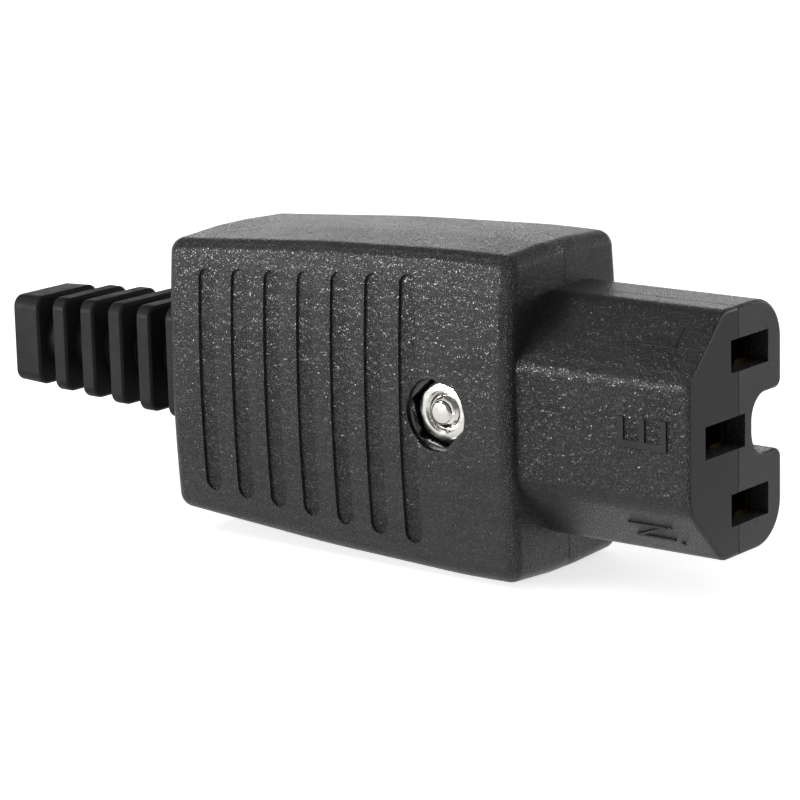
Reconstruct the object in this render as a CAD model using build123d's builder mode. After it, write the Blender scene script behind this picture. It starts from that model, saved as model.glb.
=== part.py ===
from build123d import *
import os
from math import asin, cos, degrees, radians, sin, tan

os.makedirs("parts", exist_ok=True)

# Rewireable appliance connector of the hot-condition pattern, with a ribbed strain relief boot
# +X points out of the mating face, -Y is the side with the nut, +Z is up, millimetres

# Mating nose, in two halves that meet on the parting plane
nose_length = 18.6
nose_half_height = 11.4
nose_nut_depth = 7.95
nose_screw_depth = 7.2
nose_chamfer = 5.5
nose_flat_radius = 2.8
nose_edge_radius = 1.8
nose_corner_radius = 4.0
nose_rim_radius = 0.4
nose_wall = 1.2
nose_root = 1.2

# Key groove along the screw side of the nose
key_width = 5.55
key_depth = 4.8
key_floor_radius = 2.3
key_lip_radius = 0.9

# Slots for the pins of the appliance inlet
pin_pitch = 7.0
live_row = 1.85
earth_row = -2.15
slot_height = 2.98
slot_width = 6.1
earth_slot_width = 6.4
slot_wall = 2.0

# Body of the housing
body_length = 41.15
body_half_height = 15.6
body_nut_depth = 9.1
body_screw_depth = 9.1
crest_setback = 5.7
crest_radius = 70.0
nose_end_radius = 215.0
side_flat_length = 11.0
side_flat_slope = 2.2
waist_radius = 200.0
rear_taper = 4.2
parting_land = 2.0
nut_side_draft = 3.6
screw_side_draft = 2.8
crown_radius = 135.0
corner_radius = 1.5
face_edge_radius = 1.3
side_wall = 2.0
face_wall = 2.4
rear_wall = 2.0

# Flutes for the fingers on the nut side
flute_count = 7
flute_pitch = 4.06
flute_width = 2.0
flute_depth = 0.25
flute_rear_margin = 4.25
flute_end_margin = 3.1

# Housing screw, its nut and their pockets
fixing_setback = 8.45
screw_diameter = 3.0
screw_length = 12.0
screw_head_diameter = 5.6
screw_head_height = 2.1
screw_clearance = 0.2
screw_tip_chamfer = 0.5
screw_head_rounding = 0.7
head_pocket_depth = 5.3
head_pocket_diameter = 6.4
driver_slot_length = 3.0
driver_slot_width = 0.8
driver_slot_depth = 1.1
nut_width = 5.5
nut_height = 2.4
nut_chamfer_width = 0.6
nut_chamfer_height = 0.35
nut_recess = 1.35
nut_clearance = 0.15
nut_turn = -15.0
nut_mouth_diameter = 6.9
nut_mouth_depth = 0.6
thread_clearance = 0.05
boss_wall = 1.4

# Receptacle contacts, folded from strip
strip = 0.5
contact_width = 5.8
contact_height = 3.4
contact_fold_radius = 0.7
chamber_setback = 4.8
contact_seam = 1.2
tongue_width = 2.8
contact_clearance = 0.2
spring_strip = 0.3
spring_length = 6.0
spring_setback = 2.4
retainer_wall = 1.0

# Box terminals behind the contacts
terminal_length = 5.2
terminal_setback = 0.8
terminal_wall = 0.6
terminal_seat = 2.2
terminal_roof = 1.4
wire_room = 2.8
terminal_screw_diameter = 2.5
terminal_head_diameter = 4.2
terminal_head_height = 1.4
terminal_head_gap = 0.3
wire_gap = 1.1
wire_plate = 0.5
wire_plate_length = 4.0
terminal_slot_width = 0.6
terminal_slot_depth = 0.7
partition = 1.0

# Cord clamp in front of the boot
cord_diameter = 5.4
cord_clearance = 0.2
clamp_setback = 9.5
clamp_length = 5.0
clamp_height = 2.6
clamp_wall = 1.6
clamp_screw_spacing = 12.6
clamp_screw_diameter = 2.9
clamp_screw_length = 7.0
clamp_head_diameter = 5.4
clamp_head_height = 1.6
clamp_slot_width = 0.8
clamp_slot_depth = 0.8
pilot_spare = 0.4
clamp_post_diameter = 4.8
saddle_wall = 0.6

# Strain relief boot, held by a flange behind the rear wall
boot_reach = 25.25
boot_tip_width = 8.9
boot_draft = 2.6
boot_corner_radius = 1.2
boot_tip_block = 3.7
rib_pitch = 4.0
rib_width = 1.9
rib_count = 5
rib_edge_chamfer = 0.25
boot_core_diameter = 6.7
boot_bore_diameter = 5.4
boot_neck_diameter = 8.4
boot_neck_proud = 0.4
boot_flange_diameter = 11.4
boot_flange = 2.0
boot_clearance = 0.1
flange_rib = 1.4

# Datum planes: the mating face is at +X, and the widest point of the body stands on Z = 0
face_x = (nose_length + body_length + boot_reach) / 2
parting_y = (body_nut_depth - body_screw_depth) / 2
middle = (face_x, parting_y, body_half_height)
face_plane = Plane(origin=middle, x_dir=(0, 1, 0), z_dir=(1, 0, 0))
parting_plane = Plane(origin=middle, x_dir=(1, 0, 0), z_dir=(0, -1, 0))

# Places along the connector, as distances behind the mating face
shoulder = nose_length
rear_face = nose_length + body_length
chamber_start = slot_wall
chamber_end = shoulder - chamber_setback
contact_length = chamber_end - chamber_start - contact_clearance
terminal_start = chamber_end + retainer_wall + terminal_setback
terminal_end = terminal_start + terminal_length
fixing = nose_length + fixing_setback
flange_face = rear_face - rear_wall - boot_clearance
flange_rib_face = flange_face - boot_flange - boot_clearance
clamp_middle = rear_face - clamp_setback
boot_tip = rear_face + boot_reach

# Half height of the rear face, after the crest, the flat that the body stands on and the taper
flat_slope = radians(side_flat_slope)
taper_slope = radians(rear_taper)
waist_run = waist_radius * (sin(taper_slope) - sin(flat_slope))
waist_drop = waist_radius * (cos(flat_slope) - cos(taper_slope))
crest_run = crest_radius * sin(flat_slope)
crest_drop = crest_radius * (1 - cos(flat_slope))
taper_run = body_length - crest_setback - crest_run - side_flat_length * cos(flat_slope) - waist_run
flat_drop = side_flat_length * sin(flat_slope)
rear_half_height = body_half_height - crest_drop - flat_drop - waist_drop - taper_run * tan(taper_slope)

# Inside depths on each side of the parting plane
nut_floor = body_nut_depth - face_wall
screw_floor = body_screw_depth - face_wall

# Where each contact sits: across the nose from the parting plane, and up from the middle
contact_places = {
    "live": (live_row, pin_pitch),
    "earth": (earth_row, 0),
    "neutral": (live_row, -pin_pitch),
}

nut_side = -1
screw_side = 1


def behind_face(distance):
    """Section plane at a distance behind the mating face; local X runs from nut to screw side."""
    return face_plane.offset(-distance)


def from_parting(depth, side):
    """Plane at a depth from the parting plane, into one side of the housing."""
    return parting_plane.offset(-side * depth)


def body_section(depth, side, inset):
    """Outline of the body at a depth from the parting plane, with its narrow sides drawn in by an inset."""
    crest = (-shoulder - crest_setback, body_half_height - inset)
    nose_end = degrees(asin(crest_setback / nose_end_radius))
    with BuildSketch(from_parting(depth, side)) as section:
        with BuildLine():
            nose_arc = JernArc(crest, (1, 0), nose_end_radius, -nose_end)
            crest_arc = JernArc(crest, (-1, 0), crest_radius, side_flat_slope)
            side_flat = Line(crest_arc @ 1, crest_arc @ 1 + crest_arc % 1 * side_flat_length)
            waist_arc = JernArc(side_flat @ 1, side_flat % 1, waist_radius, rear_taper - side_flat_slope)
            taper_length = taper_run / cos(taper_slope)
            taper = Line(waist_arc @ 1, waist_arc @ 1 + waist_arc % 1 * taper_length)
            mirror(about=Plane.XZ)
            Line(nose_arc @ 1, ((nose_arc @ 1).X, -(nose_arc @ 1).Y))
            Line(taper @ 1, ((taper @ 1).X, -(taper @ 1).Y))
        make_face()
        ends = section.vertices().group_by(Axis.X)
        fillet(ends[0] + ends[-1], corner_radius)
    return section


# Section of the nose, chamfered on the nut side and keyed on the screw side
with BuildSketch(face_plane) as nose_section:
    with BuildLine():
        Polyline(
            (-nose_nut_depth, nose_chamfer - nose_half_height),
            (-nose_nut_depth, nose_half_height - nose_chamfer),
            (nose_chamfer - nose_nut_depth, nose_half_height),
            (nose_screw_depth, nose_half_height),
            (nose_screw_depth, -nose_half_height),
            (nose_chamfer - nose_nut_depth, -nose_half_height),
            close=True,
        )
    make_face()
    fillet(nose_section.vertices().group_by(Axis.X)[1], nose_edge_radius)
    fillet(nose_section.vertices().group_by(Axis.X)[0], nose_flat_radius)
    fillet(nose_section.vertices().group_by(Axis.X)[-1], nose_corner_radius)
    with Locations((nose_screw_depth, 0)):
        RectangleRounded(2 * key_depth, key_width, key_floor_radius, mode=Mode.SUBTRACT)
    key_lips = nose_section.vertices().group_by(Axis.X)[-1].sort_by_distance((nose_screw_depth, 0, 0))
    fillet(key_lips[:2], key_lip_radius)

# Inside of the nose behind the contact chambers
with BuildSketch(face_plane) as nose_inside:
    offset(nose_section.sketch_local, amount=-nose_wall)

# Slots in the mating face, and the chambers behind them
with BuildSketch(face_plane) as slots:
    with Locations(contact_places["live"], contact_places["neutral"]):
        Rectangle(slot_width, slot_height)
    with Locations(contact_places["earth"]):
        Rectangle(earth_slot_width, slot_height)

chamber_width = contact_width + 2 * (spring_strip + contact_clearance)
chamber_height = contact_height + 2 * (spring_strip + contact_clearance)
with BuildSketch(behind_face(chamber_start)) as chambers:
    with Locations(*contact_places.values()):
        Rectangle(chamber_width, chamber_height)

# Windows through the retaining wall for the tongues
tongue_offset = (strip - contact_width) / 2
with BuildSketch(behind_face(chamber_end)) as tongue_windows:
    for across, up in contact_places.values():
        with Locations((across + tongue_offset, up)):
            Rectangle(strip + 2 * contact_clearance, tongue_width + 2 * contact_clearance)

# Both halves of the nose in one piece, with the rim of the mating face rounded
with BuildPart() as nose_form:
    extrude(nose_section.sketch, amount=-nose_length - nose_root)
    fillet(nose_form.faces().sort_by(Axis.X)[-1].edges(), nose_rim_radius)


def crown_section(depth, side):
    """Disc whose rim is the crown of one broad face, on the shoulder."""
    with BuildSketch(behind_face(shoulder)) as section:
        with Locations((side * (depth - crown_radius), 0)):
            Circle(crown_radius)
    return section.sketch


def outer_form(depth, side, draft, nose_keep):
    """Body and nose of one half, as a solid block."""
    land_edge = body_section(parting_land, side, 0)
    broad_edge = body_section(depth, side, (depth - parting_land) * tan(radians(draft)))
    extrude(land_edge.sketch, amount=parting_land, dir=(0, -side, 0))
    loft([land_edge.sketch, broad_edge.sketch], ruled=True)
    extrude(crown_section(depth, side), amount=-body_length, mode=Mode.INTERSECT)
    broad_face = faces().sort_by(Axis.Y)[0 if side == nut_side else -1]
    fillet(broad_face.edges(), face_edge_radius)
    add(split(nose_form.part, bisect_by=parting_plane, keep=nose_keep, mode=Mode.PRIVATE))


def hollow_out(floor, side):
    """Slots, chambers, terminal room, wiring room and boot seat of one half."""
    extrude(slots.sketch, amount=-slot_wall, mode=Mode.SUBTRACT)
    extrude(chambers.sketch, amount=chamber_start - chamber_end, mode=Mode.SUBTRACT)
    extrude(tongue_windows.sketch, amount=-retainer_wall, mode=Mode.SUBTRACT)
    with BuildSketch(behind_face(chamber_end + retainer_wall)) as terminal_room:
        add(nose_inside.sketch_local)
    extrude(terminal_room.sketch, amount=chamber_end + retainer_wall - shoulder - side_wall, mode=Mode.SUBTRACT)
    with BuildSketch(parting_plane) as wiring_room:
        offset(body_section(0, side, 0).sketch_local, amount=-side_wall)
        with Locations((-(shoulder + flange_rib_face - flange_rib) / 2, 0)):
            Rectangle(flange_rib_face - flange_rib - shoulder, 2 * body_half_height, mode=Mode.INTERSECT)
    extrude(wiring_room.sketch, amount=floor, dir=(0, side, 0), mode=Mode.SUBTRACT)
    with BuildSketch(behind_face(flange_rib_face)) as flange_seat:
        Circle(boot_flange_diameter / 2 + boot_clearance)
    extrude(flange_seat.sketch, amount=flange_rib_face - rear_face + rear_wall, mode=Mode.SUBTRACT)
    with BuildSketch(behind_face(rear_face)) as neck_hole:
        Circle(boot_neck_diameter / 2 + boot_clearance)
    extrude(neck_hole.sketch, amount=rear_wall, mode=Mode.SUBTRACT)
    with BuildSketch(behind_face(flange_rib_face)) as cord_hole:
        Circle(cord_diameter / 2 + cord_clearance)
    extrude(cord_hole.sketch, amount=flange_rib, mode=Mode.SUBTRACT)


# Tool for the flutes: stadiums whose floors follow the crown of the nut side
flute_tool_depth = 2 * flute_depth + body_half_height**2 / (2 * crown_radius)
with BuildPart() as flute_tool:
    with BuildSketch(from_parting(body_nut_depth, nut_side)) as flutes:
        for index in range(flute_count):
            from_rear = flute_rear_margin + index * flute_pitch + flute_width / 2
            half_height = rear_half_height + from_rear * tan(radians(rear_taper))
            with Locations((from_rear - rear_face, 0)):
                SlotOverall(2 * (half_height - flute_end_margin), flute_width, rotation=90)
    extrude(amount=-flute_tool_depth)
    flute_floor = crown_section(body_nut_depth - flute_depth, nut_side)
    extrude(flute_floor, amount=-body_length, mode=Mode.SUBTRACT)

# Housing half on the nut side: flutes, nut pocket, terminal seats, clamp posts and cord saddle
nut_seat = body_nut_depth - nut_recess - nut_height
nut_pocket_diameter = nut_width + 2 * nut_clearance
with BuildPart() as housing_nut_half:
    outer_form(body_nut_depth, nut_side, nut_side_draft, Keep.TOP)
    hollow_out(nut_floor, nut_side)
    add(flute_tool.part, mode=Mode.SUBTRACT)
    with BuildSketch(parting_plane) as nut_boss:
        with Locations((-fixing, 0)):
            Circle(nut_mouth_diameter / 2 + boss_wall)
    extrude(nut_boss.sketch, amount=nut_floor)
    with BuildSketch(parting_plane) as shank_hole:
        with Locations((-fixing, 0)):
            Circle(screw_diameter / 2 + screw_clearance)
    extrude(shank_hole.sketch, amount=body_nut_depth, mode=Mode.SUBTRACT)
    with BuildSketch(from_parting(nut_seat, nut_side)) as nut_pocket:
        with Locations((-fixing, 0)):
            RegularPolygon(nut_pocket_diameter / 2, 6, major_radius=False, rotation=nut_turn)
    extrude(nut_pocket.sketch, amount=body_nut_depth - nut_seat, mode=Mode.SUBTRACT)
    with BuildSketch(from_parting(body_nut_depth - nut_mouth_depth, nut_side)) as nut_mouth:
        with Locations((-fixing, 0)):
            Circle(nut_mouth_diameter / 2)
    extrude(nut_mouth.sketch, amount=nut_mouth_depth, mode=Mode.SUBTRACT)
    for across, up in contact_places.values():
        seat_depth = contact_width / 2 + terminal_wall - across
        with BuildSketch(from_parting(seat_depth, nut_side)) as cage_seat:
            with Locations((-(terminal_start + terminal_end) / 2, up)):
                Rectangle(terminal_length, contact_height)
        extrude(cage_seat.sketch, amount=terminal_seat)
    with BuildSketch(parting_plane) as partitions:
        with Locations((0, pin_pitch / 2), (0, -pin_pitch / 2)):
            with Locations((-(chamber_end + retainer_wall + terminal_end) / 2, 0)):
                Rectangle(terminal_end - chamber_end - retainer_wall, partition)
    extrude(partitions.sketch, amount=nut_floor)
    with BuildSketch(parting_plane) as clamp_posts:
        with Locations((-clamp_middle, 0)):
            with GridLocations(0, clamp_screw_spacing, 1, 2):
                Circle(clamp_post_diameter / 2)
            Rectangle(clamp_length, clamp_screw_spacing)
    extrude(clamp_posts.sketch, amount=nut_floor)
    with BuildSketch(behind_face(clamp_middle + clamp_length / 2)) as saddle:
        Circle(cord_diameter / 2 + saddle_wall)
    extrude(saddle.sketch, amount=clamp_length, mode=Mode.SUBTRACT)
    with BuildSketch(parting_plane) as pilot_holes:
        with Locations((-clamp_middle, 0)):
            with GridLocations(0, clamp_screw_spacing, 1, 2):
                Circle(clamp_screw_diameter / 2 + thread_clearance)
    extrude(pilot_holes.sketch, amount=clamp_screw_length - clamp_height + pilot_spare, mode=Mode.SUBTRACT)
housing_nut_half.part.label = "housing_nut_half"
export_step(housing_nut_half.part, "parts/housing_nut_half.step")

# Housing half on the screw side: key groove in the nose, pocket for the screw head
with BuildPart() as housing_screw_half:
    outer_form(body_screw_depth, screw_side, screw_side_draft, Keep.BOTTOM)
    hollow_out(screw_floor, screw_side)
    with BuildSketch(parting_plane) as screw_boss:
        with Locations((-fixing, 0)):
            Circle(head_pocket_diameter / 2 + boss_wall)
    extrude(screw_boss.sketch, amount=-screw_floor)
    with BuildSketch(parting_plane) as screw_hole:
        with Locations((-fixing, 0)):
            Circle(screw_diameter / 2 + screw_clearance)
    extrude(screw_hole.sketch, amount=-body_screw_depth, mode=Mode.SUBTRACT)
    with BuildSketch(from_parting(body_screw_depth, screw_side)) as head_pocket:
        with Locations((-fixing, 0)):
            Circle(head_pocket_diameter / 2)
    extrude(head_pocket.sketch, amount=head_pocket_depth, mode=Mode.SUBTRACT)
housing_screw_half.part.label = "housing_screw_half"
export_step(housing_screw_half.part, "parts/housing_screw_half.step")


def screw_form(centre, seat, head, shank):
    """Screw pointing to the nut side; head and shank are (diameter, length), met at the seat."""
    with BuildSketch(from_parting(seat, screw_side)) as head_disc:
        with Locations(centre):
            Circle(head[0] / 2)
    extrude(head_disc.sketch, amount=-head[1])
    with BuildSketch(from_parting(seat, screw_side)) as shank_disc:
        with Locations(centre):
            Circle(shank[0] / 2)
    extrude(shank_disc.sketch, amount=shank[1])


def driver_slot(centre, top, length, width, depth, turn=0):
    """Slot for the screwdriver in the top of a screw head."""
    with BuildSketch(from_parting(top, screw_side)) as slot:
        with Locations(centre):
            Rectangle(length, width, rotation=turn)
    extrude(slot.sketch, amount=depth, mode=Mode.SUBTRACT)


# Screw that holds the halves together, with a cross recess; its tip stands proud of the nut
fixing_place = (-fixing, 0)
head_seat = body_screw_depth - head_pocket_depth
with BuildPart() as housing_screw:
    screw_form(fixing_place, head_seat, (screw_head_diameter, screw_head_height), (screw_diameter, screw_length))
    chamfer(faces().sort_by(Axis.Y)[0].edges(), screw_tip_chamfer)
    fillet(faces().sort_by(Axis.Y)[-1].edges(), screw_head_rounding)
    for turn in (0, 90):
        driver_slot(
            fixing_place, head_seat + screw_head_height, driver_slot_length, driver_slot_width, driver_slot_depth, turn
        )
housing_screw.part.label = "housing_screw"
export_step(housing_screw.part, "parts/housing_screw.step")

# Nut in its pocket, with the corners of its outer face taken off by a cone
with BuildPart() as nut_blank:
    with BuildSketch(from_parting(nut_seat, nut_side)) as nut_disc:
        with Locations(fixing_place):
            Circle(nut_width / 2 / cos(radians(30)))
    extrude(amount=nut_height)
    nut_face = faces().sort_by(Axis.Y)[0]
    chamfer(nut_face.edges(), nut_chamfer_width, nut_chamfer_height, reference=nut_face)
with BuildPart() as housing_nut:
    with BuildSketch(from_parting(nut_seat, nut_side)) as hexagon:
        with Locations(fixing_place):
            RegularPolygon(nut_width / 2, 6, major_radius=False, rotation=nut_turn)
            Circle(screw_diameter / 2 + thread_clearance, mode=Mode.SUBTRACT)
    extrude(amount=nut_height)
    add(nut_blank.part, mode=Mode.INTERSECT)
housing_nut.part.label = "housing_nut"
export_step(housing_nut.part, "parts/housing_nut.step")

# Each circuit: receptacle with its spring, then the box terminal with its screw and wire plate
terminal_middle = (terminal_start + terminal_end) / 2
terminal_inner_width = tongue_width + 2 * contact_clearance
for circuit, (across, up) in contact_places.items():
    tongue_underside = across - contact_width / 2
    terminal_place = (-terminal_middle, up)

    # Strip folded round the pin, with a seam below, and one side wall drawn out as the tongue
    with BuildPart() as contact:
        with BuildSketch(behind_face(chamber_start)) as folded_strip:
            with Locations((across, up)):
                RectangleRounded(contact_width, contact_height, contact_fold_radius)
                RectangleRounded(
                    contact_width - 2 * strip,
                    contact_height - 2 * strip,
                    contact_fold_radius - strip,
                    mode=Mode.SUBTRACT,
                )
            with Locations((across, up - contact_height / 2)):
                Rectangle(contact_seam, 2 * strip, mode=Mode.SUBTRACT)
        extrude(amount=-contact_length)
        with BuildSketch(behind_face(chamber_start + contact_length)) as tongue:
            with Locations((across + tongue_offset, up)):
                Rectangle(strip, tongue_width)
        extrude(amount=chamber_start + contact_length - terminal_end)
    contact.part.label = f"contact_{circuit}"
    export_step(contact.part, f"parts/contact_{circuit}.step")

    # Steel clip that presses the two leaves of the receptacle onto the pin
    with BuildPart() as contact_spring:
        with BuildSketch(behind_face(chamber_start + spring_setback)) as clip:
            with Locations((across, up)):
                RectangleRounded(
                    contact_width + 2 * spring_strip,
                    contact_height + 2 * spring_strip,
                    contact_fold_radius + spring_strip,
                )
                RectangleRounded(contact_width, contact_height, contact_fold_radius, mode=Mode.SUBTRACT)
            with Locations((across, up - contact_height / 2)):
                Rectangle(contact_seam, 2 * strip, mode=Mode.SUBTRACT)
        extrude(amount=-spring_length)
    contact_spring.part.label = f"contact_spring_{circuit}"
    export_step(contact_spring.part, f"parts/contact_spring_{circuit}.step")

    # Box terminal: the tongue lies on its floor and the screw comes through its roof
    roof_top = tongue_underside + wire_room + terminal_roof
    with BuildPart() as terminal_box:
        with BuildSketch(behind_face(terminal_start)) as box_section:
            with Locations((tongue_underside - terminal_wall, up)):
                Rectangle(
                    terminal_wall + wire_room + terminal_roof,
                    terminal_inner_width + 2 * terminal_wall,
                    align=(Align.MIN, Align.CENTER),
                )
            with Locations((tongue_underside, up)):
                Rectangle(wire_room, terminal_inner_width, align=(Align.MIN, Align.CENTER), mode=Mode.SUBTRACT)
        extrude(amount=-terminal_length)
        with BuildSketch(from_parting(roof_top, screw_side)) as screw_bore:
            with Locations(terminal_place):
                Circle(terminal_screw_diameter / 2 + thread_clearance)
        extrude(amount=terminal_roof, mode=Mode.SUBTRACT)
    terminal_box.part.label = f"terminal_box_{circuit}"
    export_step(terminal_box.part, f"parts/terminal_box_{circuit}.step")

    # Plate between the wire and the tip of the terminal screw
    plate_top = tongue_underside + strip + wire_gap + wire_plate
    with BuildPart() as wire_clamp_plate:
        with BuildSketch(from_parting(plate_top, screw_side)) as plate:
            with Locations(terminal_place):
                Rectangle(wire_plate_length, tongue_width)
        extrude(amount=wire_plate)
    wire_clamp_plate.part.label = f"wire_plate_{circuit}"
    export_step(wire_clamp_plate.part, f"parts/wire_plate_{circuit}.step")

    # Terminal screw, with its tip on the plate
    terminal_seat_position = roof_top + terminal_head_gap
    with BuildPart() as terminal_screw:
        screw_form(
            terminal_place,
            terminal_seat_position,
            (terminal_head_diameter, terminal_head_height),
            (terminal_screw_diameter, terminal_seat_position - plate_top),
        )
        driver_slot(
            terminal_place,
            terminal_seat_position + terminal_head_height,
            terminal_head_diameter,
            terminal_slot_width,
            terminal_slot_depth,
        )
    terminal_screw.part.label = f"terminal_screw_{circuit}"
    export_step(terminal_screw.part, f"parts/terminal_screw_{circuit}.step")

# Bar that clamps the cord onto the saddle, with its ears on the posts and an arch over the cord
ear_span = clamp_screw_spacing + clamp_post_diameter
with BuildPart() as cord_clamp_bar:
    with BuildSketch(behind_face(clamp_middle - clamp_length / 2)) as bar_section:
        Circle(cord_diameter / 2 + clamp_wall)
        Rectangle(2 * clamp_height, ear_span)
        Circle(cord_diameter / 2 + cord_clearance, mode=Mode.SUBTRACT)
        Rectangle(ear_span, ear_span, align=(Align.MIN, Align.CENTER), mode=Mode.INTERSECT)
    extrude(amount=-clamp_length)
    with BuildSketch(from_parting(clamp_height, screw_side)) as ear_holes:
        with Locations((-clamp_middle, 0)):
            with GridLocations(0, clamp_screw_spacing, 1, 2):
                Circle(clamp_screw_diameter / 2 + thread_clearance)
    extrude(amount=clamp_height, mode=Mode.SUBTRACT)
cord_clamp_bar.part.label = "cord_clamp_bar"
export_step(cord_clamp_bar.part, "parts/cord_clamp_bar.step")

for position, height in (("upper", clamp_screw_spacing / 2), ("lower", -clamp_screw_spacing / 2)):
    with BuildPart() as clamp_screw:
        clamp_place = (-clamp_middle, height)
        screw_form(
            clamp_place,
            clamp_height,
            (clamp_head_diameter, clamp_head_height),
            (clamp_screw_diameter, clamp_screw_length),
        )
        driver_slot(
            clamp_place,
            clamp_height + clamp_head_height,
            clamp_head_diameter,
            clamp_slot_width,
            clamp_slot_depth,
        )
    clamp_screw.part.label = f"clamp_screw_{position}"
    export_step(clamp_screw.part, f"parts/clamp_screw_{position}.step")

# Strain relief boot: a tip block and ribs of rounded squares on a core, with a flange inside the rear wall
ribs_end = boot_tip - boot_tip_block - rib_count * rib_pitch
with BuildPart() as strain_relief_boot:
    for index in range(rib_count):
        front = ribs_end + index * rib_pitch
        width = boot_tip_width + 2 * (boot_tip - front) * tan(radians(boot_draft))
        with BuildSketch(behind_face(front)) as rib:
            RectangleRounded(width, width, boot_corner_radius)
        extrude(rib.sketch, amount=-rib_width)
    with BuildSketch(behind_face(boot_tip)) as tip_block:
        RectangleRounded(boot_tip_width, boot_tip_width, boot_corner_radius)
    extrude(tip_block.sketch, amount=boot_tip_block, taper=-boot_draft)
    chamfer(faces().filter_by(Axis.X).edges(), rib_edge_chamfer)
    with BuildSketch(behind_face(boot_tip)) as core:
        Circle(boot_core_diameter / 2)
    extrude(core.sketch, amount=boot_tip - rear_face)
    with BuildSketch(behind_face(rear_face + boot_neck_proud)) as neck:
        Circle(boot_neck_diameter / 2)
    extrude(neck.sketch, amount=rear_face + boot_neck_proud - flange_face)
    with BuildSketch(behind_face(flange_face)) as flange:
        Circle(boot_flange_diameter / 2)
    extrude(flange.sketch, amount=boot_flange)
    with BuildSketch(behind_face(boot_tip)) as bore:
        Circle(boot_bore_diameter / 2)
    extrude(bore.sketch, amount=boot_tip - flange_face + boot_flange, mode=Mode.SUBTRACT)
strain_relief_boot.part.label = "strain_relief_boot"
export_step(strain_relief_boot.part, "parts/strain_relief_boot.step")
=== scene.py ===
import math

import bpy
from bpy.props import FloatProperty, FloatVectorProperty, PointerProperty
from mathutils import Matrix, Quaternion, Vector


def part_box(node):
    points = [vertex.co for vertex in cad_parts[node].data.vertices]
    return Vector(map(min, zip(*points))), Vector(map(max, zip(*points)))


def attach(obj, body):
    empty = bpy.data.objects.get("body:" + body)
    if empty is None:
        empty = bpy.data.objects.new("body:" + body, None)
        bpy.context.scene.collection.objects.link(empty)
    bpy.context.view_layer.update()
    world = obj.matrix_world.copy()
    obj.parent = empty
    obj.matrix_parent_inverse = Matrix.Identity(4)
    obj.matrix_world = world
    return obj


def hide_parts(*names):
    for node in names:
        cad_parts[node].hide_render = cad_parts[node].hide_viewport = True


bl_info = {
    "name": "Appliance connector",
    "version": (1, 0, 0),
    "blender": (4, 5, 0),
    "location": "3D View > Sidebar > Connector",
    "description": "Dresses a rewireable appliance connector in moulded plastic, plated steel and brass",
    "category": "Object",
}

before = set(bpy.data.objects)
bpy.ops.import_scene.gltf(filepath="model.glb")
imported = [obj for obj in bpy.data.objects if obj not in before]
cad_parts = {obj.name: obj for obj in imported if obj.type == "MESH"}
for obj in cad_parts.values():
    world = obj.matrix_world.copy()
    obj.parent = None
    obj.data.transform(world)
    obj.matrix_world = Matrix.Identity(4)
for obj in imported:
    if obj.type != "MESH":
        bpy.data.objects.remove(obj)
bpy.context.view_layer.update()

MM = 0.001
BODY = "root"
CIRCUITS = ("live", "earth", "neutral")

# Places read from the frame: mating face, parting plane, mid-height, nut and screw tip
nut_half_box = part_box("housing_nut_half")
nut_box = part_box("housing_nut")
screw_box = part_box("housing_screw")
FACE_X = nut_half_box[1].x
PARTING_Y = nut_half_box[1].y
MIDDLE_Z = (nut_half_box[0].z + nut_half_box[1].z) / 2
FACE_MIDDLE = Vector((FACE_X, PARTING_Y, MIDDLE_Z))
NUT_X = (nut_box[0].x + nut_box[1].x) / 2
NUT_FACE_Y = nut_box[0].y
SCREW_TIP_Y = screw_box[0].y

# Sizes that the boxes don't give
NOSE_LENGTH = 18.6 * MM
NUT_POCKET_RADIUS = 3.5 * MM
SCREW_RADIUS = 1.5 * MM

# Outward normals of the nose's near flat and its two chamfers, which lean 45 degrees
LEAN = math.sqrt(0.5)
NEAR_FLAT = (0, -1, 0)
UPPER_CHAMFER = (0, -LEAN, LEAN)
LOWER_CHAMFER = (0, -LEAN, -LEAN)

# Vertices closer than this are one, and vertices within a hair of a plane lie in it
WELD_DISTANCE = 0.001 * MM
HAIR = 0.01 * MM

WHITE = (1.0, 1.0, 1.0, 1.0)


def linear(value):
    """Linear light of one sRGB channel between 0 and 1."""
    return value / 12.92 if value <= 0.04045 else ((value + 0.055) / 1.055) ** 2.4


def rgba(hex_colour):
    """Linear colour with full alpha from a six-digit hex colour."""
    channels = (int(hex_colour[place : place + 2], 16) / 255 for place in (0, 2, 4))
    return (*map(linear, channels), 1.0)


def colour_setting(name, description, hex_colour):
    """A colour that the user can change."""
    return FloatVectorProperty(
        name=name, description=description, subtype="COLOR", size=4, min=0, max=1, default=rgba(hex_colour)
    )


def length_setting(name, description, millimetres):
    """A length that the user can change."""
    return FloatProperty(
        name=name, description=description, subtype="DISTANCE", unit="LENGTH", default=millimetres * MM, min=0
    )


def angle_setting(name, description, degrees):
    """An angle that the user can change."""
    return FloatProperty(name=name, description=description, subtype="ANGLE", default=math.radians(degrees))


# Settings


class HousingSettings(bpy.types.PropertyGroup):
    """Colours and surface of the moulded housing and boot"""

    plastic: colour_setting("Plastic", "Colour of the housing's thermoplastic", "151517")
    # Lighter plastic: wear where handling polished it, and painted light on the grain's lands, which leaves the
    # pits in painted shade
    worn_and_painted_lit_plastic: colour_setting("Worn plastic", "Colour of the plastic where handling has polished it", "222224")
    boot: colour_setting("Boot", "Colour of the soft boot", "1a1a1b")
    grain: length_setting("Grain", "Width of one pit of the spark-eroded surface", 0.125)
    edge_radius: length_setting("Edge radius", "Radius that the moulds leave on sharp edges", 0.075)
    # The dark line is painted shadow in the gap between the halves
    seam: length_setting("Seam", "Width of the dark line where the halves meet", 0.2)


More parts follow.
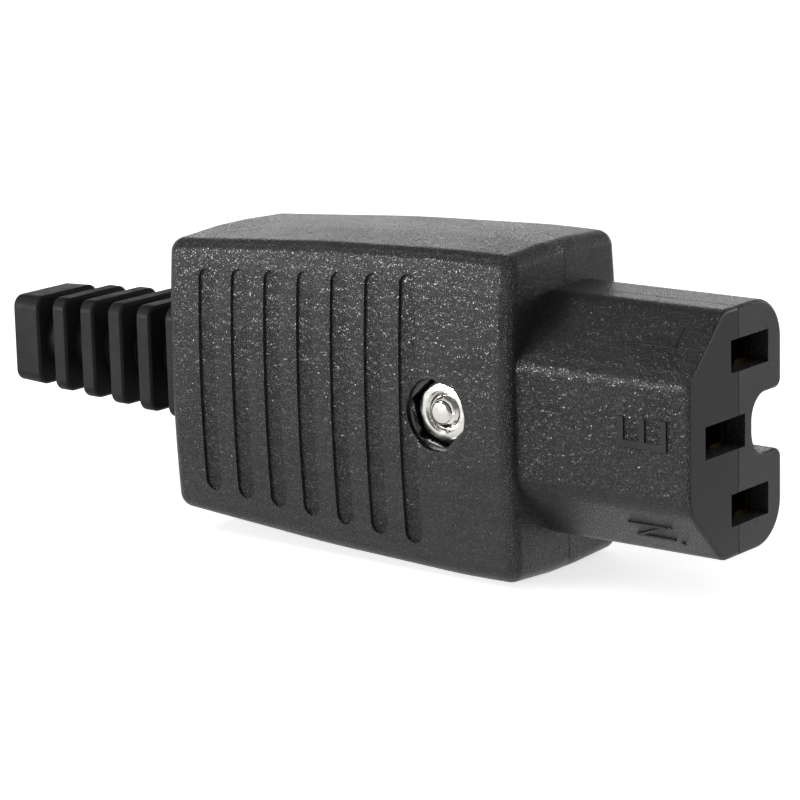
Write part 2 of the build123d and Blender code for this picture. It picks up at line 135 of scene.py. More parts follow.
class FastenerSettings(bpy.types.PropertyGroup):
    """Nut, screw and thread"""

    pitch: length_setting("Pitch", "Distance between two turns of the thread", 0.5)
    thread_depth: length_setting("Thread depth", "Depth of the thread below the outer diameter", 0.28)
    tip_rounding: length_setting("Tip rounding", "Radius of the rounded end of the screw", 0.45)
    countersink: length_setting("Countersink", "Width of the chamfer round the hole in the nut", 0.45)


class LetterSettings(bpy.types.PropertyGroup):
    """Raised letters and mould marks on the nose"""

    sunk: length_setting("Sunk", "How far a letter reaches into the nose", 0.02)
    chamfer: length_setting("Chamfer", "Width of the chamfer on a letter's edges", 0.04)
    mark_radius: length_setting("Mark radius", "Radius of a round mould mark", 0.22)
    mark_height: length_setting("Mark height", "Height of a round mould mark, half of it sunk", 0.2)


class StageSettings(bpy.types.PropertyGroup):
    """Place and lens of the camera"""

    azimuth: angle_setting("Azimuth", "Direction of the camera round the connector, from the nut side", 38.41)
    elevation: angle_setting("Elevation", "Height of the camera above the horizon", 12.87)
    roll: angle_setting("Roll", "Tilt of the camera about its line of sight", -1.46)
    lens: FloatProperty(name="Lens", description="Focal length in millimetres", default=153.8, min=1)
    camera_place: FloatVectorProperty(
        name="Camera place",
        description="Where the camera stands, from the middle of the mating face",
        subtype="TRANSLATION",
        default=(159.45 * MM, -249.26 * MM, 70.96 * MM),
    )


# Shader helpers


def connect(tree, socket, value):
    """Links a socket to an input, or stores a plain value in it."""
    if isinstance(value, bpy.types.NodeSocket):
        tree.links.new(value, socket)
    else:
        socket.default_value = value


def add_node(tree, kind, **inputs):
    """Adds a shader node and fills its inputs by name."""
    node = tree.nodes.new(kind)
    for name, value in inputs.items():
        connect(tree, node.inputs[name.replace("_", " ")], value)
    return node


def add_math(tree, operation, *values):
    """Adds a math node and gives its result."""
    node = tree.nodes.new("ShaderNodeMath")
    node.operation = operation
    for socket, value in zip(node.inputs, values):
        connect(tree, socket, value)
    return node.outputs[0]


def add_ramp(tree, value, low, high, start=0.0, end=1.0):
    """Maps a value smoothly from low..high to start..end, clamped, and gives the result."""
    node = tree.nodes.new("ShaderNodeMapRange")
    node.interpolation_type = "SMOOTHSTEP"
    for socket, setting in zip(node.inputs, (value, low, high, start, end)):
        connect(tree, socket, setting)
    return node.outputs["Result"]


def add_noise(tree, vector, scale, detail, **inputs):
    """Adds a noise texture and gives its value."""
    node = add_node(tree, "ShaderNodeTexNoise", Vector=vector, Scale=scale, Detail=detail, **inputs)
    return node.outputs["Fac"]


def add_colour_mix(tree, factor, first, second):
    """Mixes two colours and gives the result."""
    node = tree.nodes.new("ShaderNodeMix")
    node.data_type = "RGBA"
    for socket, value in zip((node.inputs[0], node.inputs[6], node.inputs[7]), (factor, first, second)):
        connect(tree, socket, value)
    return node.outputs[2]


def add_value_mix(tree, factor, first, second):
    """Mixes two values and gives the result."""
    node = tree.nodes.new("ShaderNodeMix")
    for socket, value in zip((node.inputs[0], node.inputs[2], node.inputs[3]), (factor, first, second)):
        connect(tree, socket, value)
    return node.outputs[0]


def add_shader_mix(tree, factor, first, second):
    """Mixes two shaders and gives the result."""
    node = tree.nodes.new("ShaderNodeMixShader")
    for socket, value in zip(node.inputs, (factor, first, second)):
        tree.links.new(value, socket)
    return node.outputs[0]


def new_group(name, inputs, outputs):
    """An empty shader node group; gives it with its input and output nodes."""
    group = bpy.data.node_groups.new(name, "ShaderNodeTree")
    for socket_name, kind, default in inputs:
        socket = group.interface.new_socket(socket_name, in_out="INPUT", socket_type=kind)
        if default is not None:
            socket.default_value = default
    for socket_name, kind in outputs:
        group.interface.new_socket(socket_name, in_out="OUTPUT", socket_type=kind)
    return group, group.nodes.new("NodeGroupInput"), group.nodes.new("NodeGroupOutput")


def place_group(tree, name, **inputs):
    """Places a node group in a material's tree and fills its inputs."""
    node = tree.nodes.new("ShaderNodeGroup")
    node.node_tree = bpy.data.node_groups[name]
    for socket_name, value in inputs.items():
        connect(tree, node.inputs[socket_name], value)
    return node


def new_material(name, **constants):
    """A material with a Principled BSDF; gives the material, its tree, the shader and the Object coordinates."""
    material = bpy.data.materials.new(name)
    material.use_nodes = True
    tree = material.node_tree
    tree.nodes.clear()
    shader = add_node(tree, "ShaderNodeBsdfPrincipled", **constants)
    output = tree.nodes.new("ShaderNodeOutputMaterial")
    tree.links.new(shader.outputs["BSDF"], output.inputs["Surface"])
    return material, tree, shader, tree.nodes.new("ShaderNodeTexCoord").outputs["Object"]


def add_bump(tree, shader, height, distance):
    """Feeds a height through a Bump node to a shader's normal."""
    bump = add_node(tree, "ShaderNodeBump", Height=height, Distance=distance)
    tree.links.new(bump.outputs["Normal"], shader.inputs["Normal"])


# Shared node groups


def make_grain_group():
    """Spark-eroded grain: small pits over slow waves, faded where the mould was polished, with painted shade that
    darkens the pits.
    """
    group, start, end = new_group(
        "Spark-eroded grain",
        [
            ("Vector", "NodeSocketVector", None),
            ("Size", "NodeSocketFloat", 0.3 * MM),
            ("Polish", "NodeSocketFloat", 0.0),
        ],
        [
            ("Height", "NodeSocketFloat"),
            ("Roughness", "NodeSocketFloat"),
            ("Gloss", "NodeSocketFloat"),
            ("Shade", "NodeSocketFloat"),
        ],
    )
    vector = start.outputs["Vector"]
    unpolished = add_math(group, "SUBTRACT", 1.0, start.outputs["Polish"])

    # Pits the size of the grain, waves about five pits wide and clouds of wear 25 pits wide
    pit_scale = add_math(group, "DIVIDE", 1.0, start.outputs["Size"])
    wave_scale = add_math(group, "MULTIPLY", pit_scale, 0.22)
    cloud_scale = add_math(group, "MULTIPLY", pit_scale, 0.04)
    pits = add_noise(group, vector, pit_scale, 2.0, Roughness=0.55)
    waves = add_noise(group, vector, wave_scale, 1.0)
    clouds = add_noise(group, vector, cloud_scale, 2.0)

    # Lands are 1 and pit floors 0, with steep walls between them
    lands = add_ramp(group, pits, 0.38, 0.62)
    height = add_math(group, "MULTIPLY_ADD", waves, 0.7, lands)
    group.links.new(add_math(group, "MULTIPLY", height, unpolished), end.inputs["Height"])
    pitted = add_math(group, "MULTIPLY", add_math(group, "SUBTRACT", 1.0, lands), unpolished)
    group.links.new(add_ramp(group, pitted, 0.0, 1.0, start=0.18, end=0.45), end.inputs["Roughness"])
    gloss = add_ramp(group, pitted, 0.1, 0.9, start=0.25, end=0.0)
    group.links.new(add_math(group, "MULTIPLY", gloss, unpolished), end.inputs["Gloss"])
    # The shade is clouds of wear, plus painted shade that leaves the pits darker than the lands
    mottled = add_ramp(group, clouds, 0.35, 0.65, end=0.65)
    group.links.new(add_math(group, "MULTIPLY_ADD", lands, 0.35, mottled), end.inputs["Shade"])


def make_handling_group():
    """Faint smears and specks that handling leaves, as a roughness and a shade."""
    group, start, end = new_group(
        "Handling marks",
        [("Vector", "NodeSocketVector", None), ("Amount", "NodeSocketFloat", 0.1)],
        [("Roughness", "NodeSocketFloat"), ("Shade", "NodeSocketFloat")],
    )
    vector = start.outputs["Vector"]
    smears = add_ramp(group, add_noise(group, vector, 160.0, 3.0, Distortion=0.6), 0.35, 0.65)
    specks = add_ramp(group, add_noise(group, vector, 2600.0, 1.0), 0.66, 0.72)
    marks = add_math(group, "MULTIPLY_ADD", specks, 0.6, smears)
    group.links.new(add_math(group, "MULTIPLY", marks, start.outputs["Amount"]), end.inputs["Roughness"])
    group.links.new(marks, end.inputs["Shade"])


def make_rolled_group():
    """Fine lines left by rolling or turning, stretched along one axis, and patches of tarnish."""
    group, start, end = new_group(
        "Rolled lines",
        [("Vector", "NodeSocketVector", None), ("Stretch", "NodeSocketVector", (1.0, 1.0, 1.0))],
        [("Height", "NodeSocketFloat"), ("Shade", "NodeSocketFloat")],
    )
    stretched = group.nodes.new("ShaderNodeVectorMath")
    stretched.operation = "MULTIPLY"
    group.links.new(start.outputs["Vector"], stretched.inputs[0])
    group.links.new(start.outputs["Stretch"], stretched.inputs[1])
    group.links.new(add_noise(group, stretched.outputs[0], 9000.0, 2.0), end.inputs["Height"])
    tarnish = add_noise(group, start.outputs["Vector"], 500.0, 3.0)
    group.links.new(add_ramp(group, tarnish, 0.35, 0.7), end.inputs["Shade"])


# Materials


def polish_and_pocket_shade_mask(tree, position):
    """1 where the mould was polished: most of the mating face, and the pocket round the nut, whose near black is
    painted shade.
    """
    face_skin = 0.3 * MM
    screw_half_grain = 0.25
    facing = tree.nodes.new("ShaderNodeNewGeometry")
    normal = add_node(tree, "ShaderNodeSeparateXYZ", Vector=facing.outputs["Normal"])
    forward = add_ramp(tree, normal.outputs["X"], 0.8, 0.95)
    at_face = add_math(tree, "GREATER_THAN", position.outputs["X"], FACE_X - face_skin)
    on_screw_half = add_math(tree, "GREATER_THAN", position.outputs["Y"], PARTING_Y)
    smoothness = add_math(tree, "MULTIPLY_ADD", on_screw_half, -screw_half_grain, 1.0)
    smooth_face = add_math(tree, "MULTIPLY", add_math(tree, "MULTIPLY", forward, at_face), smoothness)

    # The pocket round the nut is smoothed, and painted near black as painted shade in the recess
    across = add_math(tree, "SUBTRACT", position.outputs["X"], NUT_X)
    upward = add_math(tree, "SUBTRACT", position.outputs["Z"], MIDDLE_Z)
    square = add_math(tree, "MULTIPLY_ADD", across, across, add_math(tree, "MULTIPLY", upward, upward))
    in_pocket = add_math(tree, "LESS_THAN", add_math(tree, "SQRT", square), NUT_POCKET_RADIUS)
    return add_math(tree, "MAXIMUM", smooth_face, in_pocket)


def seam_shadow_mask(tree, position, width):
    """1 on the line where the halves meet, over the nose and the shoulder behind it, which is painted dark as
    painted shadow in the gap.
    """
    shoulder_skin = 0.1 * MM
    across = add_math(tree, "SUBTRACT", position.outputs["Y"], PARTING_Y)
    line = add_ramp(tree, add_math(tree, "ABSOLUTE", across), width / 4, width / 2, start=1.0, end=0.0)
    at_nose = add_math(tree, "GREATER_THAN", position.outputs["X"], FACE_X - NOSE_LENGTH - shoulder_skin)
    return add_math(tree, "MULTIPLY", line, at_nose)


def housing_material(settings):
    """Spark-eroded thermoplastic, smooth and deeper black on the mating face, smooth in the nut's pocket and
    painted near black there as painted shade, with painted shade in the grain's pits and a painted shadow along
    the seam.
    """
    material, tree, shader, place = new_material(
        "Moulded housing", IOR=1.52, Specular_IOR_Level=0.65, Coat_Roughness=0.3, Coat_IOR=1.35
    )
    # Deeper black of the polished mating face, and painted shade in the nut's pocket
    polished_and_pocket_shade_black = rgba("050505")
    # Painted shadow in the gap where the halves meet
    seam_shadow_black = rgba("020202")
    seam_roughness = 0.5
    position = add_node(tree, "ShaderNodeSeparateXYZ", Vector=place)
    polish_and_pocket_shade = polish_and_pocket_shade_mask(tree, position)
    seam = seam_shadow_mask(tree, position, settings.seam)
    grain = place_group(tree, "Spark-eroded grain", Vector=place, Size=settings.grain, Polish=polish_and_pocket_shade)
    marks = place_group(tree, "Handling marks", Vector=place, Amount=0.05)

    # Plastic mottled by wear, with painted shade darkening the grain's pits
    mottled = add_colour_mix(tree, grain.outputs["Shade"], settings.plastic, settings.worn_and_painted_lit_plastic)
    # Near black on the polished mating face, and painted shade in the nut's pocket
    deep = add_colour_mix(tree, add_math(tree, "MULTIPLY", polish_and_pocket_shade, 0.8), mottled, polished_and_pocket_shade_black)
    connect(tree, shader.inputs["Base Color"], add_colour_mix(tree, seam, deep, seam_shadow_black))
    roughness = add_math(tree, "ADD", grain.outputs["Roughness"], marks.outputs["Roughness"])
    connect(tree, shader.inputs["Roughness"], add_math(tree, "MULTIPLY_ADD", seam, seam_roughness, roughness))
    off_seam = add_math(tree, "SUBTRACT", 1.0, seam)
    connect(tree, shader.inputs["Coat Weight"], add_math(tree, "MULTIPLY", grain.outputs["Gloss"], off_seam))
    add_bump(tree, shader, grain.outputs["Height"], 0.2 * MM)
    return material


def boot_material(settings, name):
    """Soft satin plastic with a faint flow pattern and dusty smears."""
    material, tree, shader, place = new_material(name, IOR=1.5, Specular_IOR_Level=0.12)
    dust_gain = 1.5
    flow = add_noise(tree, place, 700.0, 3.0, Distortion=0.4)
    marks = place_group(tree, "Handling marks", Vector=place, Amount=0.08)
    dusty = tuple(dust_gain * channel for channel in settings.boot[:3]) + (1.0,)
    connect(tree, shader.inputs["Base Color"], add_colour_mix(tree, marks.outputs["Shade"], settings.boot, dusty))
    satin = add_ramp(tree, flow, 0.3, 0.7, start=0.4, end=0.5)
    connect(tree, shader.inputs["Roughness"], add_math(tree, "ADD", satin, marks.outputs["Roughness"]))
    add_bump(tree, shader, flow, 0.04 * MM)
    return material


def metal_material(name, hex_bright, hex_dull, roughness, stretch=(1.0, 1.0, 1.0)):
    """Plated or rolled metal with fine lines, and rougher where it has tarnished."""
    material, tree, shader, place = new_material(name, Metallic=1.0)
    tarnish_roughness = 0.14
    rolled = place_group(tree, "Rolled lines", Vector=place, Stretch=stretch)
    tarnish = rolled.outputs["Shade"]
    connect(tree, shader.inputs["Base Color"], add_colour_mix(tree, tarnish, rgba(hex_bright), rgba(hex_dull)))
    rougher = add_ramp(tree, tarnish, 0.0, 1.0, start=roughness, end=roughness + tarnish_roughness)
    connect(tree, shader.inputs["Roughness"], rougher)
    add_bump(tree, shader, rolled.outputs["Height"], 0.004 * MM)
    return material


def letter_material(settings):
    """The housing's plastic where the mould was engraved and polished."""
    material, tree, shader, place = new_material("Polished letters", IOR=1.52, Specular_IOR_Level=0.2)
    marks = place_group(tree, "Handling marks", Vector=place, Amount=0.1)
    mottled = add_colour_mix(tree, marks.outputs["Shade"], settings.plastic, settings.worn_and_painted_lit_plastic)
    connect(tree, shader.inputs["Base Color"], mottled)
    connect(tree, shader.inputs["Roughness"], add_math(tree, "ADD", marks.outputs["Roughness"], 0.38))
    return material


# Mesh helpers


def select_only(piece):
    """Selects one object and makes it active."""
    bpy.ops.object.select_all(action="DESELECT")
    piece.select_set(True)
    bpy.context.view_layer.objects.active = piece


def merged_copy(node, name):
    """A copy of a CAD node with its loose triangles joined and its flat faces made whole."""
    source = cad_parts[node]
    piece = source.copy()
    piece.data = source.data.copy()
    for key in [key for key in piece.keys() if key.startswith("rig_")]:
        del piece[key]
    piece.parent = None
    bpy.context.scene.collection.objects.link(piece)
    piece.name = piece.data.name = name
    select_only(piece)
    bpy.ops.object.mode_set(mode="EDIT")
    bpy.ops.mesh.select_all(action="SELECT")
    bpy.ops.mesh.remove_doubles(threshold=WELD_DISTANCE)
    bpy.ops.mesh.dissolve_limited(angle_limit=math.radians(0.5))
    bpy.ops.object.mode_set(mode="OBJECT")
    return piece


def bevel_edges(piece, wanted, width, segments):
    """Bevels the edges of the active piece whose two ends both pass a test."""
    bpy.ops.object.mode_set(mode="EDIT")
    bpy.ops.mesh.select_mode(type="EDGE")
    bpy.ops.mesh.select_all(action="DESELECT")
    bpy.ops.object.mode_set(mode="OBJECT")
    for edge in piece.data.edges:
        edge.select = all(wanted(piece.data.vertices[corner].co) for corner in edge.vertices)
    bpy.ops.object.mode_set(mode="EDIT")
    bpy.ops.mesh.bevel(offset=width, segments=segments, affect="EDGES")
    bpy.ops.object.mode_set(mode="OBJECT")


def finish_piece(piece, name, material):
    """Names a piece, applies its place, gives it its material and rides it on the connector."""
    piece.name = piece.data.name = name
    select_only(piece)
    bpy.ops.object.transform_apply(location=True, rotation=True, scale=True)
    piece.data.materials.clear()
    piece.data.materials.append(material)
    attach(piece, BODY)


def soften(piece, radius):
    """Rounds a CAD node's sharp edges and smooths its curved faces, with live modifiers."""
    for polygon in piece.data.polygons:
        polygon.use_smooth = True
    weld = piece.modifiers.new("Joined faces", "WELD")
    weld.merge_threshold = WELD_DISTANCE
    flat = piece.modifiers.new("Whole faces", "DECIMATE")
    flat.decimate_type = "DISSOLVE"
    flat.angle_limit = math.radians(0.2)
    if radius:
        rounding = piece.modifiers.new("Moulded edges", "BEVEL")
        rounding.width = radius
        rounding.segments = 2
        rounding.limit_method = "ANGLE"
        rounding.angle_limit = math.radians(35)
        shading = piece.modifiers.new("Flat faces stay flat", "WEIGHTED_NORMAL")
        shading.weight = 100
    else:
        crease = piece.modifiers.new("Creases", "EDGE_SPLIT")
        crease.split_angle = math.radians(30)


def dress(node, material, radius=0.0):
    """Gives a CAD node a material in place of its plain one, and softens its edges."""
    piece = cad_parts[node]
    piece.data.materials.clear()
    piece.data.materials.append(material)
    soften(piece, radius)


# Operators


class CONNECTOR_OT_surfaces(bpy.types.Operator):
    """Build the node groups that the materials share"""

    bl_idname = "connector.surfaces"
    bl_label = "Surfaces"

    def execute(self, context):
        make_grain_group()
        make_handling_group()
        make_rolled_group()
        return {"FINISHED"}


class CONNECTOR_OT_housing(bpy.types.Operator):
    """Dress the two housing halves in grained plastic, with softened edges"""

    bl_idname = "connector.housing"
    bl_label = "Housing"

    def execute(self, context):
        settings = context.scene.connector_housing
        material = housing_material(settings)
        for node in ("housing_nut_half", "housing_screw_half"):
            dress(node, material, settings.edge_radius)
        return {"FINISHED"}


class CONNECTOR_OT_boot(bpy.types.Operator):
    """Dress the strain relief boot"""

    bl_idname = "connector.boot"
    bl_label = "Boot"

    def execute(self, context):
        settings = context.scene.connector_housing
        dress("strain_relief_boot", boot_material(settings, "Soft boot"), settings.edge_radius)
        return {"FINISHED"}


class CONNECTOR_OT_nut(bpy.types.Operator):
    """Countersink the nut"""

    bl_idname = "connector.nut"
    bl_label = "Nut"

    def execute(self, context):
        settings = context.scene.connector_fasteners
        piece = merged_copy("housing_nut", "nut")
        rim_reach = SCREW_RADIUS + 0.2 * MM

        def on_hole_rim(point):
            reach = math.hypot(point.x - NUT_X, point.z - MIDDLE_Z)
            return reach < rim_reach and point.y < NUT_FACE_Y + HAIR

        bevel_edges(piece, on_hole_rim, settings.countersink, segments=1)
        bpy.ops.object.shade_smooth_by_angle(angle=math.radians(30))
        material = metal_material("Plated nut", "f2f0ec", "cfcdc6", roughness=0.16)
        finish_piece(piece, "nut", material)
        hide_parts("housing_nut")
        return {"FINISHED"}


class CONNECTOR_OT_screw(bpy.types.Operator):
    """Cut a thread on the tip of the housing screw"""

    bl_idname = "connector.screw"
    bl_label = "Screw"

    thread_turns = 3
    round_steps = 48
    # How far the tip reaches behind the nut's face, where on it the thread starts, and how deep the ridge
    # sits in the core
    tip_depth = 0.9 * MM
    thread_start = 0.1 * MM
    overlap = 0.05 * MM

    def execute(self, context):
        settings = context.scene.connector_fasteners
        piece = merged_copy("housing_screw", "screw")
        cut_y = NUT_FACE_Y + self.tip_depth
        bpy.ops.object.mode_set(mode="EDIT")
        bpy.ops.mesh.select_all(action="SELECT")
        bpy.ops.mesh.bisect(
            plane_co=(NUT_X, cut_y, MIDDLE_Z), plane_no=(0, -1, 0), use_fill=True, clear_outer=True
        )
        bpy.ops.object.mode_set(mode="OBJECT")
        root_radius = SCREW_RADIUS - settings.thread_depth
        core = self.add_core(root_radius, cut_y, settings.tip_rounding)
        ridge = self.add_ridge(root_radius, settings.pitch)

        select_only(piece)
        core.select_set(True)
        ridge.select_set(True)
        bpy.ops.object.join()
        bpy.ops.object.shade_smooth_by_angle(angle=math.radians(35))
        material = metal_material("Plated screw", "f2f0ec", "d2d0ca", roughness=0.12)
        finish_piece(piece, "screw", material)
        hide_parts("housing_screw")
        return {"FINISHED"}

    def add_core(self, radius, cut_y, rounding):
        """Core of the tip, with a rounded end."""
        bpy.ops.object.select_all(action="DESELECT")
        bpy.ops.mesh.primitive_cylinder_add(
            vertices=self.round_steps,
            radius=radius,
            depth=cut_y - SCREW_TIP_Y,
            location=(NUT_X, (cut_y + SCREW_TIP_Y) / 2, MIDDLE_Z),
            rotation=(math.radians(90), 0, 0),
        )
        core = bpy.context.object
        bpy.ops.object.transform_apply(location=True, rotation=True, scale=True)
        bevel_edges(core, lambda point: point.y < SCREW_TIP_Y + HAIR, rounding, segments=5)
        return core

    def add_ridge(self, root_radius, pitch):
        """Ridge of the thread, a triangle wound round the core and a hair inside the screw's radius."""
        flank = 0.46 * pitch
        root = root_radius - self.overlap
        crest = SCREW_RADIUS - HAIR
        bpy.ops.object.select_all(action="DESELECT")
        bpy.ops.mesh.primitive_circle_add(vertices=3, radius=1.0, fill_type="NOTHING")
        ridge = bpy.context.object
        profile = ((root, -flank), (crest, 0), (root, flank))
        for vertex, (reach, along) in zip(ridge.data.vertices, profile):
            vertex.co = (reach, 0, along)
        winding = ridge.modifiers.new("Winding", "SCREW")
        winding.axis = "Z"
        winding.screw_offset = pitch
        winding.iterations = self.thread_turns
        winding.steps = winding.render_steps = self.round_steps
        bpy.ops.object.modifier_apply(modifier=winding.name)
        bpy.ops.object.mode_set(mode="EDIT")
        bpy.ops.mesh.select_all(action="SELECT")
        bpy.ops.mesh.fill_holes(sides=4)
        bpy.ops.mesh.normals_make_consistent(inside=False)
        bpy.ops.object.mode_set(mode="OBJECT")
        ridge.rotation_euler = (math.radians(-90), 0, 0)
        ridge.location = (NUT_X, SCREW_TIP_Y + flank + self.thread_start, MIDDLE_Z)
        return ridge


class CONNECTOR_OT_letters(bpy.types.Operator):
    """Raise the circuit letters on the three near faces of the nose, and the mould marks beside the N"""

    bl_idname = "connector.letters"
    bl_label = "Letters"

    # Letter, front left corner (from the mating face, the parting plane and mid-height), outward normal,
    # width, height along the nose, height of the relief and added thickness of the strokes, in millimetres
    letters = (
        ("E", (-2.3, -7.95, -0.6), NEAR_FLAT, 2.85, 5.2, 0.16, 0.0),
        ("L", (-2.9, -5.62, 8.23), UPPER_CHAMFER, 2.2, 4.5, 0.08, -0.15),
        ("N", (-3.75, -4.3, -9.55), LOWER_CHAMFER, 2.35, 4.15, 0.16, -0.03),
    )
    # Middles of the marks, from the same point
    marks = ((-3.4, -5.9, -7.95), (-3.15, -4.1, -9.75))

    def execute(self, context):
        settings = context.scene.connector_letters
        material = letter_material(context.scene.connector_housing)
        for letter, corner, normal, width, height, relief, thickness in self.letters:
            piece = self.add_letter(letter, height, relief, thickness)
            low = Vector(piece.bound_box[0])
            high = Vector(piece.bound_box[6])
            fit = Matrix.Diagonal((width * MM / (high.x - low.x), height * MM / (high.y - low.y), 1.0, 1.0))
            outward = Vector(normal)
            up = Vector((-1, 0, 0))
            right = up.cross(outward)
            lie = Matrix((right, up, outward)).transposed().to_4x4()
            lie.translation = FACE_MIDDLE + Vector(corner) * MM + outward * (relief / 2 * MM - settings.sunk)
            piece.data.transform(lie @ fit @ Matrix.Translation((-low.x, -low.y, 0)))
            chamfer = piece.modifiers.new("Chamfer", "BEVEL")
            chamfer.width = settings.chamfer
            chamfer.segments = 1
            select_only(piece)
            bpy.ops.object.modifier_apply(modifier=chamfer.name)
            bpy.ops.object.shade_flat()
            finish_piece(piece, f"letter_{letter}", material)
        for index, middle in enumerate(self.marks):
            self.add_mark(f"letter_mark_{index + 1}", middle, settings, material)
        return {"FINISHED"}

    def add_letter(self, letter, height, relief, thickness):
        """A letter as a closed mesh, upright and centred on its own thickness."""
        bpy.ops.object.select_all(action="DESELECT")
        bpy.ops.object.text_add()
        text = bpy.context.object
        text.data.body = letter
        text.data.size = height * MM
        text.data.extrude = relief / 2 * MM
        text.data.offset = thickness * MM
        bpy.ops.object.convert(target="MESH")
        piece = bpy.context.object
        bpy.ops.object.mode_set(mode="EDIT")
        bpy.ops.mesh.select_all(action="SELECT")
        bpy.ops.mesh.remove_doubles(threshold=WELD_DISTANCE)
        bpy.ops.mesh.normals_make_consistent(inside=False)
        bpy.ops.mesh.dissolve_limited(angle_limit=math.radians(1))
        bpy.ops.object.mode_set(mode="OBJECT")
        return piece

    def add_mark(self, name, middle, settings, material):
        """A small round mark on the lower chamfer."""
        bpy.ops.object.select_all(action="DESELECT")
        bpy.ops.mesh.primitive_cylinder_add(vertices=16, radius=settings.mark_radius, depth=settings.mark_height)
        piece = bpy.context.object
        turn = Vector(LOWER_CHAMFER).to_track_quat("Z", "Y").to_matrix().to_4x4()
        piece.data.transform(Matrix.Translation(FACE_MIDDLE + Vector(middle) * MM) @ turn)
        finish_piece(piece, name, material)


class CONNECTOR_OT_inside(bpy.types.Operator):
    """Dress the contacts, terminals, springs and cord clamp"""

    bl_idname = "connector.inside"
    bl_label = "Contacts and clamp"

    def execute(self, context):
        # The contacts' brass is painted dark brown: painted shade of the deep slots they sit in, with patches of
        # tarnish
        # The fine lines run along the axis whose stretch is small
        brass = metal_material("Rolled brass", "5f4f2c", "3a3019", roughness=0.42, stretch=(0.05, 1.0, 1.0))
        terminal = metal_material("Machined brass", "c8a862", "9c7f45", roughness=0.3, stretch=(1.0, 0.08, 1.0))
        spring = metal_material("Spring steel", "8d8d90", "5e5e62", roughness=0.32, stretch=(1.0, 0.1, 1.0))
        plated = metal_material("Plated terminal screw", "cfcdc6", "9b9992", roughness=0.22)
        for circuit in CIRCUITS:
            dress(f"contact_{circuit}", brass)
            dress(f"contact_spring_{circuit}", spring)
            dress(f"terminal_box_{circuit}", terminal)
            dress(f"wire_plate_{circuit}", spring)
            dress(f"terminal_screw_{circuit}", plated)
        dress("cord_clamp_bar", boot_material(context.scene.connector_housing, "Clamp plastic"))
        for position in ("upper", "lower"):
            dress(f"clamp_screw_{position}", plated)
        return {"FINISHED"}


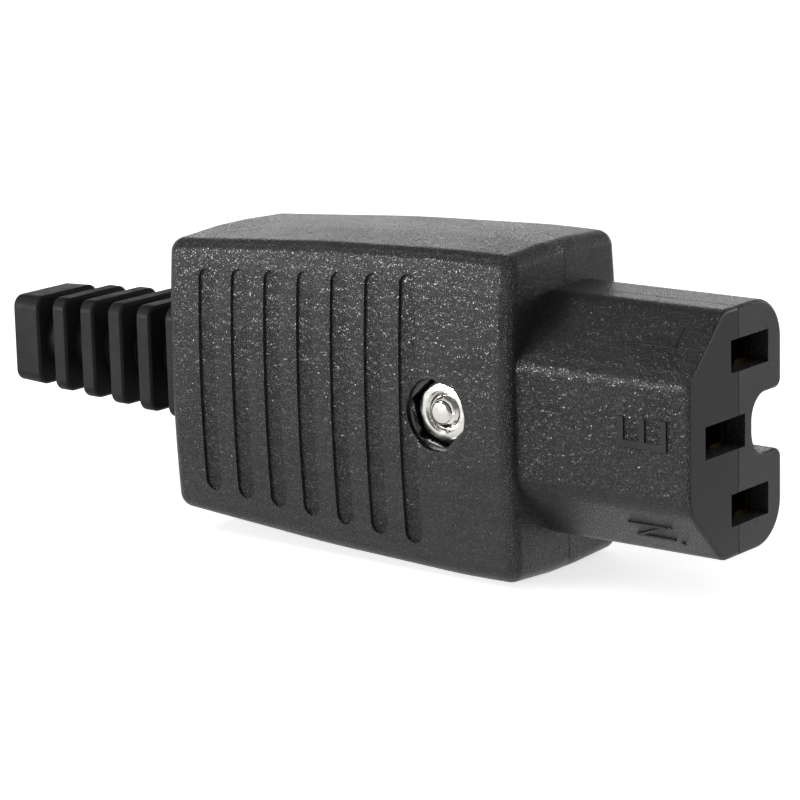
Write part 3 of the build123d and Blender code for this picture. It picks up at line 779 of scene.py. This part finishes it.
class CONNECTOR_OT_stage(bpy.types.Operator):
    """Set up the camera, the lamps, the floor and the white surroundings"""

    bl_idname = "connector.stage"
    bl_label = "Stage"

    # Lamp, place and size in metres, and power in watts
    lamps = (
        ("key", (-0.36, -0.5, 0.08), (0.42, 0.14), 3.8),
        ("top", (-0.3, -0.22, 0.42), (0.2, 0.16), 0.5),
    )

    def execute(self, context):
        scene = context.scene
        self.add_camera(scene, scene.connector_stage)
        self.add_floor()
        for lamp in self.lamps:
            self.add_lamp(scene, *lamp)
        self.surround(scene)
        scene.view_settings.view_transform = "Standard"
        return {"FINISHED"}

    def add_camera(self, scene, settings):
        """The camera at the place from which the connector is shown."""
        camera_data = bpy.data.cameras.new("camera")
        camera_data.lens = settings.lens
        camera_data.sensor_width = 36.0
        camera_data.clip_start = 0.01
        camera = bpy.data.objects.new("camera", camera_data)
        scene.collection.objects.link(camera)
        level = math.cos(settings.elevation)
        back = Vector(
            (math.sin(settings.azimuth) * level, -math.cos(settings.azimuth) * level, math.sin(settings.elevation))
        )
        camera.rotation_mode = "QUATERNION"
        camera.rotation_quaternion = back.to_track_quat("Z", "Y") @ Quaternion((0, 0, 1), settings.roll)
        camera.location = FACE_MIDDLE + Vector(settings.camera_place)
        scene.camera = camera

    def add_floor(self):
        """A white floor that keeps the connector's shadow, and is dimmer ahead of it in reflections."""
        bpy.ops.object.select_all(action="DESELECT")
        bpy.ops.mesh.primitive_plane_add(size=6.0, location=(0, 0, -0.05 * MM))
        floor = bpy.context.object
        floor.name = "floor"
        material = bpy.data.materials.new("White floor")
        material.use_nodes = True
        tree = material.node_tree
        tree.nodes.clear()
        paper = add_node(tree, "ShaderNodeBsdfDiffuse", Color=(0.8, 0.8, 0.8, 1.0)).outputs[0]
        glow = add_node(tree, "ShaderNodeEmission", Color=WHITE, Strength=0.7).outputs[0]
        white_paper = tree.nodes.new("ShaderNodeAddShader")
        tree.links.new(paper, white_paper.inputs[0])
        tree.links.new(glow, white_paper.inputs[1])
        ray = tree.nodes.new("ShaderNodeLightPath")
        seen = add_math(tree, "MAXIMUM", ray.outputs["Is Camera Ray"], ray.outputs["Is Transmission Ray"])
        to_eye = add_shader_mix(tree, seen, paper, white_paper.outputs[0])

        # In reflections the floor fades from under the nose to well ahead of the mating face
        place = tree.nodes.new("ShaderNodeTexCoord").outputs["Object"]
        along = add_node(tree, "ShaderNodeSeparateXYZ", Vector=place).outputs["X"]
        fade = add_ramp(tree, along, 30 * MM, 65 * MM, start=0.85, end=0.5)
        mirrored = add_node(tree, "ShaderNodeEmission", Color=WHITE, Strength=fade).outputs[0]
        surface = add_shader_mix(tree, ray.outputs["Is Glossy Ray"], to_eye, mirrored)
        tree.links.new(surface, tree.nodes.new("ShaderNodeOutputMaterial").inputs["Surface"])
        floor.data.materials.append(material)

    def add_lamp(self, scene, name, place, size, power):
        """A soft rectangular lamp that faces the connector."""
        lamp_data = bpy.data.lights.new(name, "AREA")
        lamp_data.shape = "RECTANGLE"
        lamp_data.size, lamp_data.size_y = size
        lamp_data.energy = power
        lamp = bpy.data.objects.new(name, lamp_data)
        scene.collection.objects.link(lamp)
        lamp.location = place
        lamp.rotation_mode = "QUATERNION"
        lamp.rotation_quaternion = (Vector(place) - Vector((0, 0, MIDDLE_Z))).to_track_quat("Z", "Y")

    def surround(self, scene):
        """White surroundings for the eye, plain light on the connector, and reflections bright low behind it."""
        plain_light = 0.55
        overhead = 0.16
        low_back = 1.68
        world = bpy.data.worlds.new("Surroundings")
        scene.world = world
        world.use_nodes = True
        tree = world.node_tree
        tree.nodes.clear()
        direction = add_node(
            tree, "ShaderNodeSeparateXYZ", Vector=tree.nodes.new("ShaderNodeTexCoord").outputs["Generated"]
        )
        low = add_ramp(tree, direction.outputs["Z"], 0.12, 0.36, start=1.0, end=0.0)
        behind = add_ramp(tree, direction.outputs["Y"], -0.2, 0.4)
        reflected = add_math(tree, "MULTIPLY_ADD", add_math(tree, "MULTIPLY", low, behind), low_back, overhead)
        ray = tree.nodes.new("ShaderNodeLightPath")
        mirrored = add_math(tree, "MAXIMUM", ray.outputs["Is Glossy Ray"], ray.outputs["Is Transmission Ray"])
        strength = add_value_mix(tree, mirrored, plain_light, reflected)
        strength = add_value_mix(tree, ray.outputs["Is Camera Ray"], strength, 1.0)
        sky = add_node(tree, "ShaderNodeBackground", Color=WHITE, Strength=strength)
        tree.links.new(sky.outputs[0], tree.nodes.new("ShaderNodeOutputWorld").inputs["Surface"])


class CONNECTOR_PT_panel(bpy.types.Panel):
    """Settings and steps of the connector"""

    bl_idname = "CONNECTOR_PT_panel"
    bl_label = "Connector"
    bl_space_type = "VIEW_3D"
    bl_region_type = "UI"
    bl_category = "Connector"

    def draw(self, context):
        layout = self.layout
        for name, group in SETTINGS.items():
            column = layout.box().column()
            for setting in group.__annotations__:
                column.prop(getattr(context.scene, name), setting)
        for operator in OPERATORS:
            layout.operator(operator.bl_idname)


SETTINGS = {
    "connector_housing": HousingSettings,
    "connector_fasteners": FastenerSettings,
    "connector_letters": LetterSettings,
    "connector_stage": StageSettings,
}
OPERATORS = (
    CONNECTOR_OT_surfaces,
    CONNECTOR_OT_housing,
    CONNECTOR_OT_boot,
    CONNECTOR_OT_nut,
    CONNECTOR_OT_screw,
    CONNECTOR_OT_letters,
    CONNECTOR_OT_inside,
    CONNECTOR_OT_stage,
)


def register():
    """Registers the settings, the operators and the panel."""
    for name, group in SETTINGS.items():
        bpy.utils.register_class(group)
        setattr(bpy.types.Scene, name, PointerProperty(type=group))
    for operator in OPERATORS:
        bpy.utils.register_class(operator)
    bpy.utils.register_class(CONNECTOR_PT_panel)


def unregister():
    """Takes everything that register added away again."""
    bpy.utils.unregister_class(CONNECTOR_PT_panel)
    for operator in reversed(OPERATORS):
        bpy.utils.unregister_class(operator)
    for name, group in reversed(SETTINGS.items()):
        delattr(bpy.types.Scene, name)
        bpy.utils.unregister_class(group)


def main():
    """Builds the connector's pieces in order."""
    register()
    bpy.ops.connector.surfaces()
    bpy.ops.connector.housing()
    bpy.ops.connector.boot()
    bpy.ops.connector.nut()
    bpy.ops.connector.screw()
    bpy.ops.connector.letters()
    bpy.ops.connector.inside()
    bpy.ops.connector.stage()


if __name__ == "__main__":
    main()
